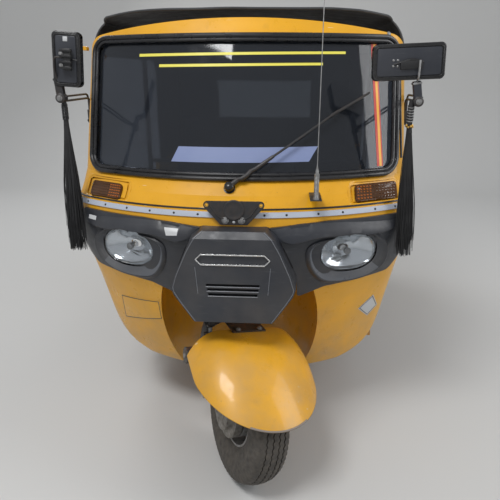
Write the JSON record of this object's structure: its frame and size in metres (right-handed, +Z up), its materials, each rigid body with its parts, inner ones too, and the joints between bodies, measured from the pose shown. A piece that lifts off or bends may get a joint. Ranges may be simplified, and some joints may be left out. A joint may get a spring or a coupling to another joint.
{
  "type": "three-wheeled auto rickshaw",
  "caption": "Three-wheeled passenger vehicle with a raked windscreen, soft top, one steered front wheel under a bulbous fender, and an open cab with a driver's seat and a rear bench.",
  "frame": {"origin": "middle of the vehicle's outline on the floor", "axes": "+Z up, the front faces -Y, +X to the vehicle's left"},
  "size_m": [1.43, 2.8609, 1.9899],
  "materials": {
    "yellow_paint": "worn gloss",
    "black_plastic": "satin moulded",
    "black_rubber": "matte",
    "tinted_glass": "clear, dark tint",
    "clear_sheet": "clear sheet",
    "lamp_lens": "clear",
    "amber_lens": "clear amber",
    "red_lens": "clear red",
    "bright_trim": "polished",
    "black_steel": "worn satin",
    "black_hair": "loose hair",
    "seat_cover": "grained sheet",
    "canopy_fabric": "coated cloth",
    "cast_alloy": "dusty cast",
    "exhaust_steel": "heat stained",
    "tyre_rubber": "dusty",
    "rim_paint": "worn silver"
  },
  "bodies": {
    "chassis": {"front_cowl": "yellow_paint", "wheel_housing": "yellow_paint", "windscreen_surround": "yellow_paint", "windscreen_seal": "black_rubber", "windscreen_glass": "tinted_glass", "turn_lamps": "amber_lens", "lamp_surrounds": "black_plastic", "headlamps": "lamp_lens", "grille_panel": "black_plastic", "badge_frame": "bright_trim", "trim_strip": "bright_trim", "plate_bracket": "black_steel", "wiper": "black_plastic", "antenna": "black_steel", "mirrors": "black_plastic", "tassels": "black_hair", "floor_pan": "yellow_paint", "chassis_frame": "black_steel", "steering_head": "black_steel", "dashboard": "black_plastic", "rear_tub": "yellow_paint", "seat_bench": "black_steel", "passenger_cushion": "seat_cover", "passenger_backrest": "seat_cover", "driver_base": "black_steel", "driver_cushion": "seat_cover", "driver_backrest": "seat_cover", "roof_canopy": "canopy_fabric", "rear_window": "clear_sheet", "roof_frame": "black_steel", "side_guard": "black_steel", "rear_bumper": "black_steel", "tail_lamps": "red_lens", "rear_arms": "black_steel", "rear_shocks": "black_steel", "engine_block": "cast_alloy", "exhaust": "exhaust_steel"},
    "engine_lid": {"engine_hatch": "yellow_paint"},
    "steering": {"steering_column": "black_steel", "suspension_link": "cast_alloy", "front_spring": "black_steel", "front_fender": "yellow_paint"},
    "front_wheel": {"front_tyre": "tyre_rubber", "front_rim": "rim_paint"},
    "rear_left_wheel": {"rear_tyre_left": "tyre_rubber", "rear_rim_left": "rim_paint"},
    "rear_right_wheel": {"rear_tyre_right": "tyre_rubber", "rear_rim_right": "rim_paint"}
  },
  "joints": [
    {"name": "steering_turn", "type": "hinge", "parent": "chassis", "child": "steering", "pos_m": [0, -1.08, 0.2714], "axis": [0, 0.309, 0.9511], "range_deg": [-68, 12]},
    {"name": "front_wheel_spin", "type": "hinge", "parent": "steering", "child": "front_wheel", "pos_m": [0.04018, -1.16047, 0.26831], "axis": [0.8829, 0.4465, -0.1451], "continuous": true},
    {"name": "rear_left_wheel_spin", "type": "hinge", "parent": "chassis", "child": "rear_left_wheel", "pos_m": [0.565, 0.83, 0.27], "axis": [1, 0, 0], "continuous": true},
    {"name": "rear_right_wheel_spin", "type": "hinge", "parent": "chassis", "child": "rear_right_wheel", "pos_m": [-0.565, 0.83, 0.27], "axis": [1, 0, 0], "continuous": true},
    {"name": "hatch_open", "type": "hinge", "parent": "chassis", "child": "engine_lid", "pos_m": [0, 1.404, 0.882], "axis": [1, 0, 0], "range_deg": [0, 75]}
  ]
}
